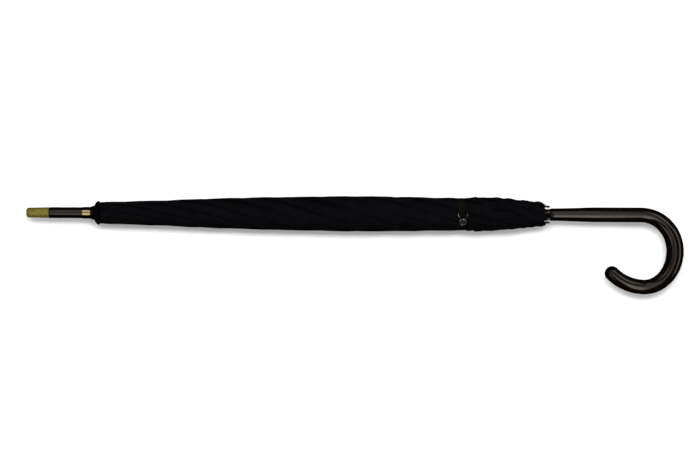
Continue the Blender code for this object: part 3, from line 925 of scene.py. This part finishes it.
print("open angle", round(degrees(OPEN_ANGLE), 1))

# %% The open cloth's height and seams
REST_SLOPE = 0.00755  # the slope of a rib's straight line at rest
SEAM_LAP = 0.0004
TOP_REACH, HEM_REACH = 0.0135, 0.6200
PIVOT_REACH = 0.0119  # from the tent's top to the ribs' pivots
CLOTH_LIFT = 0.0021  # the cloth's place above the ribs' centre lines
SAG = 0.020


def open_height(reach, across, span):
    """How far the cloth stands off the ribs' straight line: their bow, less the sag between them."""
    distance = reach - PIVOT_REACH
    bow = rib_height(distance) - PIVOT_RADIUS - max(distance, 0.0) * REST_SLOPE
    middle = sin(pi * across / span)
    return bow + CLOTH_LIFT + SEAM_LAP * across / span - SAG * middle * (reach / HEM_REACH) ** 1.2


def seam_shift(height, across, span):
    """Two neighbours lean apart, so each reaches out to meet the other over the bowed rib."""
    lean = atan2(cos(OPEN_ANGLE) * (1.0 - cos(RIB_STEP)), sin(RIB_STEP))
    return (height * sin(lean) + SEAM_LAP) * (2.0 * across / span - 1.0)


# %% One open segment
OPEN_ROWS, OPEN_COLUMNS = 60, 36


def open_segment(index):
    """A strip beside the rib at rest, placed where a blend from the rib to the fan body would spread it
    into the open segment.
    """
    joint = joint_of[f"gore_{index + 1}_fan"]
    origin = Vector(joint["pos_m"])
    normal = Vector(joint["axis"]).normalized()
    angle = FIRST_RIB + index * RIB_STEP
    along = Vector((cos(REST_ANGLE), sin(REST_ANGLE) * cos(angle), sin(REST_ANGLE) * sin(angle)))
    across_axis = normal.cross(along).normalized()
    span = acos(cos(OPEN_ANGLE) ** 2 + sin(OPEN_ANGLE) ** 2 * cos(RIB_STEP))
    rows = []
    for station in range(OPEN_ROWS + 1):
        part = station / OPEN_ROWS
        row = []
        for column in range(OPEN_COLUMNS + 1):
            across = span * column / OPEN_COLUMNS
            hem = HEM_REACH * (cos(span / 2.0) / cos(across - span / 2.0)) ** 1.35
            reach = TOP_REACH + (hem - TOP_REACH) * part
            height = open_height(reach, across, span)
            across += seam_shift(height, across, span) / reach
            share = blend_share(reach, across, span)
            turn = across - share * span
            direction = cos(turn) * along + sin(turn) * across_axis
            row.append(origin + reach * direction - height * normal)
        rows.append(row)
    sheet = cloth_grid(f"open_segment_{index + 1}", rows)
    for loop in sheet.data.loops:
        row, column = divmod(loop.vertex_index, OPEN_COLUMNS + 1)
        reach = HEM_REACH * row / OPEN_ROWS
        place = (reach * span * (column / OPEN_COLUMNS - 0.5), reach)
        sheet.data.uv_layers[0].data[loop.index].uv = place
    sheet.data.materials.append(canopy_cloth)
    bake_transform(sheet)
    return sheet


for index in range(8):
    roll = rolled_segment(index)
    finished(roll, canopy_cloth, "canopy_fabric", "stick", f"canopy_gore_{index + 1}")
    opened = open_segment(index)
    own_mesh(roll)
print("rolled segment", len(roll.data.polygons), "faces each")

# %% [markdown]
# ## Strap, ring and button
# The strap is a band of black webbing with two rows of stitching. A metal ring hangs from its end on
# two loops of wire and hooks over a dark button. The band is laid as a grid over the roll's own
# outline, so that it follows the cloth, and a modifier gives it its thickness.

# %% The strap
def radial(angle, radius, x):
    return Vector((x, radius * cos(angle), radius * sin(angle)))


STRAP_HALF = 0.0052
STRAP_THICKNESS = 0.0006
STRAP_STEPS = 150
STRAP_ENDS = (FIRST_RIB - radians(9.0), FIRST_RIB + tau - radians(33.0))


def strap_rows():
    """Across the band from edge to edge, with a row of sunken stitches near each edge."""
    half = [0.0, 0.4, 0.68, 0.74, 0.80, 0.92, 0.97, 1.0]
    profile = [-place for place in half[:0:-1]] + half
    rows = []
    for step in range(STRAP_STEPS + 1):
        angle = STRAP_ENDS[0] + (STRAP_ENDS[1] - STRAP_ENDS[0]) * step / STRAP_STEPS
        sway = 0.0004 * ring_noise(angle, 1.0, 2.0, 4.0)
        row = []
        for place in profile:
            x = STRAP_X + sway + place * STRAP_HALF
            bed = outline_radius(x) - 0.00005 + 0.00030 * ring_noise(angle, place, 5.0, 1.0)
            stitch = -0.00012 if 0.70 < abs(place) < 0.78 else 0.0
            row.append(radial(angle, bed + stitch, x))
        rows.append(row)
    return rows


# %% Lay the strap round the roll
strap = cloth_grid("tie_strap_band", strap_rows())
modify(strap, "SOLIDIFY", thickness=STRAP_THICKNESS, offset=-1.0)
finished(strap, strap_cloth, "strap_fabric", "rib_1", "tie_strap")
strap_length = (STRAP_ENDS[1] - STRAP_ENDS[0]) * outline_radius(STRAP_X)
outward = radial(FIRST_RIB, 1.0, 0.0)
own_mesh(strap)
print("strap length", round(strap_length, 4))

# %% The ring
STUD_X = STRAP_X + 0.0018
RING_RADIUS, RING_WIRE, RING_FLATTEN = 0.0043, 0.0014, 0.50
RING_PLACE = radial(FIRST_RIB, 0.0239, STUD_X)
sideways = radial(FIRST_RIB + pi / 2.0, 1.0, 0.0)
ring_frame = Matrix((Vector((1, 0, 0)), sideways, outward)).transposed()

bpy.ops.object.select_all(action="DESELECT")
bpy.ops.mesh.primitive_torus_add(
    major_radius=RING_RADIUS,
    minor_radius=RING_WIRE,
    major_segments=64,
    minor_segments=20,
    location=(0.0, 0.0, 0.0),
)
ring = bpy.context.object
ring.name = "hook_ring"
bpy.ops.object.mode_set(mode="EDIT")
bpy.ops.mesh.select_all(action="SELECT")
bpy.ops.transform.resize(value=(1.0, 1.03, RING_FLATTEN))
bpy.ops.object.mode_set(mode="OBJECT")
bpy.ops.object.shade_smooth_by_angle(angle=radians(60.0))
ring.data.transform(Matrix.Translation(RING_PLACE) @ ring_frame.to_4x4())
finished(ring, nickel, "bright_metal", "ring", "strap_ring")
print("ring width", round(2.0 * (RING_RADIUS + RING_WIRE), 4))

# %% The button
button_outline = [
    (0.0216, 0.0002),
    (0.0216, 0.0016),
    (0.0240, 0.0016),
    (0.0243, 0.0021),
    (0.0247, 0.0024),
    (0.0251, 0.0023),
    (0.0253, 0.0017),
    (0.0251, 0.0009),
    (0.0253, 0.0005),
    (0.0254, 0.0002),
]
button_rings = [(radial(FIRST_RIB, height, STUD_X), outward, r) for height, r in button_outline]
button = grow("strap_stud", button_rings, 48)
finished(button, black_steel, "black_metal", "rib_1", "strap_button")
print("button", len(button.data.polygons), "faces")

# %% The loops of wire
LEG_SPAN = radians(20.0)
LEG_WIRE = 0.00075


def loop_leg(name, offset, lean, material, slot_name):
    """A short bent wire from the strap's end to the ring, thinner at both its ends."""
    rings = []
    for step in range(13):
        part = step / 12.0
        angle = STRAP_ENDS[1] - tau - radians(1.0) + LEG_SPAN * part
        radius = outline_radius(STRAP_X) + 0.0004 + 0.0013 * sin(pi * part * 0.8)
        x = STUD_X + offset + lean * part**2 + 0.15 * offset * sin(pi * part)
        thick = LEG_WIRE * min(1.0, 0.4 + 3.0 * min(part, 1.0 - part))
        rings.append((radial(angle, radius, x), radial(angle + pi / 2.0, 1.0, 0.0), thick))
    leg = grow(name, rings, 16)
    finished(leg, material, slot_name, "rib_1")


loop_leg("loop_leg_left", -0.0058, 0.0026, bright_brass, "bright_brass")
loop_leg("loop_leg_right", 0.0058, -0.0026, nickel, "bright_metal")
print("wire thickness", round(2.0 * LEG_WIRE, 4))

# %% [markdown]
# ## Rib ends
# A small nickel cap sits on the end of each rib, with a groove where the corner of the cloth is
# sewn on by a few turns of thread. The eight ends stand round the stick just past the hem.

# %% The rib ends
TIP_SLOPE = -0.052
THREAD_TURNS = 4.0
THREAD_COIL, THREAD_RADIUS = 0.00095, 0.00022


def rib_end(index):
    """One rib's cap and its thread, made on the top of the stick and turned round it."""
    tip_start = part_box(f"rib_tip_{index + 1}")[0][0]
    start = Vector((tip_start - 0.002, rib_height(RIB_LENGTH) + 0.0001, 0.0))
    direction = Vector((1.0, TIP_SLOPE, 0.0)).normalized()
    turn = Matrix.Rotation(FIRST_RIB + index * RIB_STEP, 3, "X")
    outline = [
        (0.0, 0.0010),
        (0.0040, 0.0010),
        (0.0050, 0.0007),
        (0.0080, 0.0007),
        (0.0088, 0.0010),
        (0.0104, 0.0012),
        (0.0122, 0.0012),
        (0.0131, 0.0010),
        (0.0136, 0.0006),
        (0.0137, 0.0002),
    ]
    rings = [(turn @ (start + direction * d), turn @ direction, r) for d, r in outline]
    tip = grow(f"rib_end_{index + 1}", rings, 20)
    finished(tip, nickel, "bright_metal", f"rib_{index + 1}", f"rib_tip_{index + 1}")
    thread = []
    for step in range(29):
        part = step / 28.0
        coil = part * THREAD_TURNS * tau
        centre = start + direction * (0.0052 + 0.0026 * part)
        place = centre + THREAD_COIL * Vector((0.0, cos(coil), sin(coil)))
        heading = Vector((0.15, -sin(coil), cos(coil)))
        thread.append((turn @ place, turn @ heading, THREAD_RADIUS))
    stitch = grow(f"rib_thread_{index + 1}", thread, 6)
    finished(stitch, strap_cloth, "strap_fabric", f"rib_{index + 1}")


for index in range(8):
    rib_end(index)
print("thread turns on each rib", THREAD_TURNS)

# %% [markdown]
# ## Finishes for the frame's own parts
# The ribs, stretchers, notch and runner keep their frame shapes and get the two metal finishes.

# %% Frame nodes
BRIGHT_PARTS = ("rib_rivet", "notch_wire", "runner_wire", "stop_pin", "hand_spring", "top_spring")
for name, node in nodes.items():
    node.data.materials.clear()
    node.data.materials.append(nickel if name.startswith(BRIGHT_PARTS) else black_steel)
print("bright frame parts", sum(name.startswith(BRIGHT_PARTS) for name in nodes))
